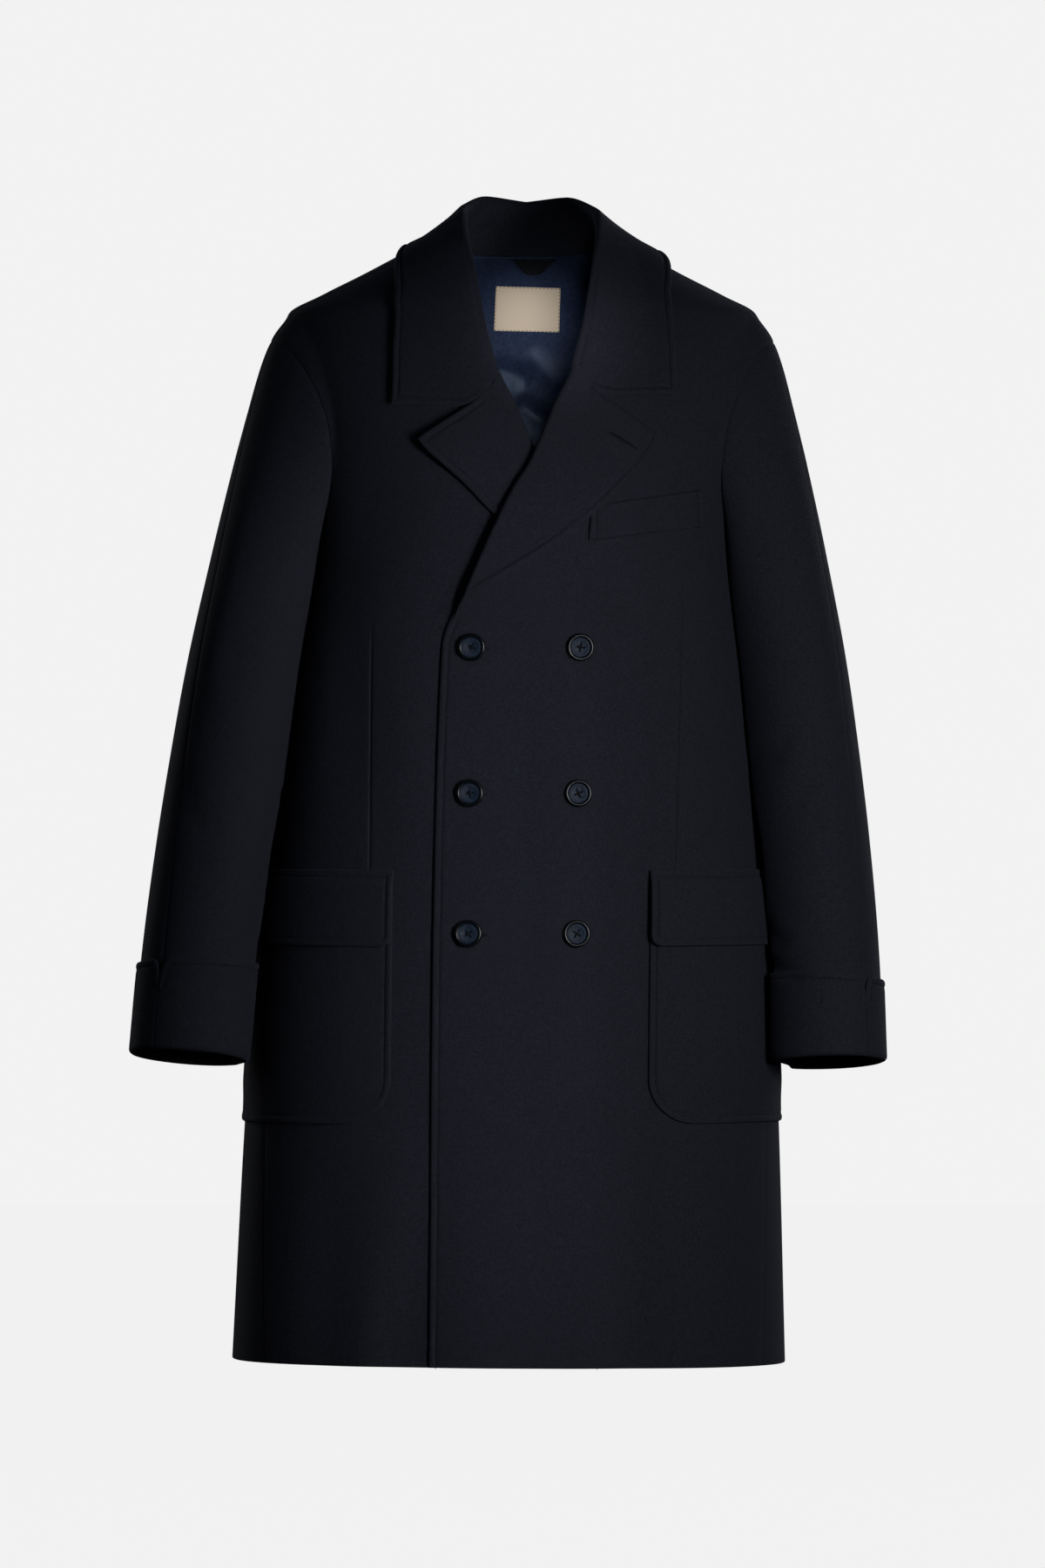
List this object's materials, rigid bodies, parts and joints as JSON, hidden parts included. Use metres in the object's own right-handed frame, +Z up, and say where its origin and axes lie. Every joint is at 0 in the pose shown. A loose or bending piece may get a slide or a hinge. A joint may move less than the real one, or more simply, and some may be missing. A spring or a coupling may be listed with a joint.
{
  "type": "overcoat",
  "caption": "Long double-breasted overcoat with notched collar and lapels, turned-back cuffs, flapped patch pockets and a chest welt, filled out and hollow, to be worn.",
  "frame": {"origin": "middle of the neck opening, level with the back neck seam, where the coat is held", "axes": "+Z up, the front faces -Y, the wearer's left is +X"},
  "size_m": [0.6758, 0.3125, 1.045],
  "materials": {
    "navy_coating": "napped wool coating",
    "navy_lining": "satin",
    "label_weave": "woven, bare",
    "button_horn": "polished"
  },
  "bodies": {
    "root": {"front_left": "navy_coating", "front_right": "navy_coating", "back_left": "navy_coating", "back_right": "navy_coating", "lapel_left": "navy_coating", "lapel_right": "navy_coating", "collar": "navy_coating", "sleeve_front_left": "navy_coating", "sleeve_back_left": "navy_coating", "sleeve_front_right": "navy_coating", "sleeve_back_right": "navy_coating", "cuff_front_left": "navy_coating", "cuff_back_left": "navy_coating", "cuff_front_right": "navy_coating", "cuff_back_right": "navy_coating", "pocket_left": "navy_coating", "pocket_right": "navy_coating", "flap_left": "navy_coating", "flap_right": "navy_coating", "chest_welt": "navy_coating", "button_1": "button_horn", "button_2": "button_horn", "button_3": "button_horn", "button_4": "button_horn", "button_5": "button_horn", "button_6": "button_horn", "lining_back": "navy_lining", "label": "label_weave", "hang_loop": "navy_lining"}
  },
  "joints": []
}
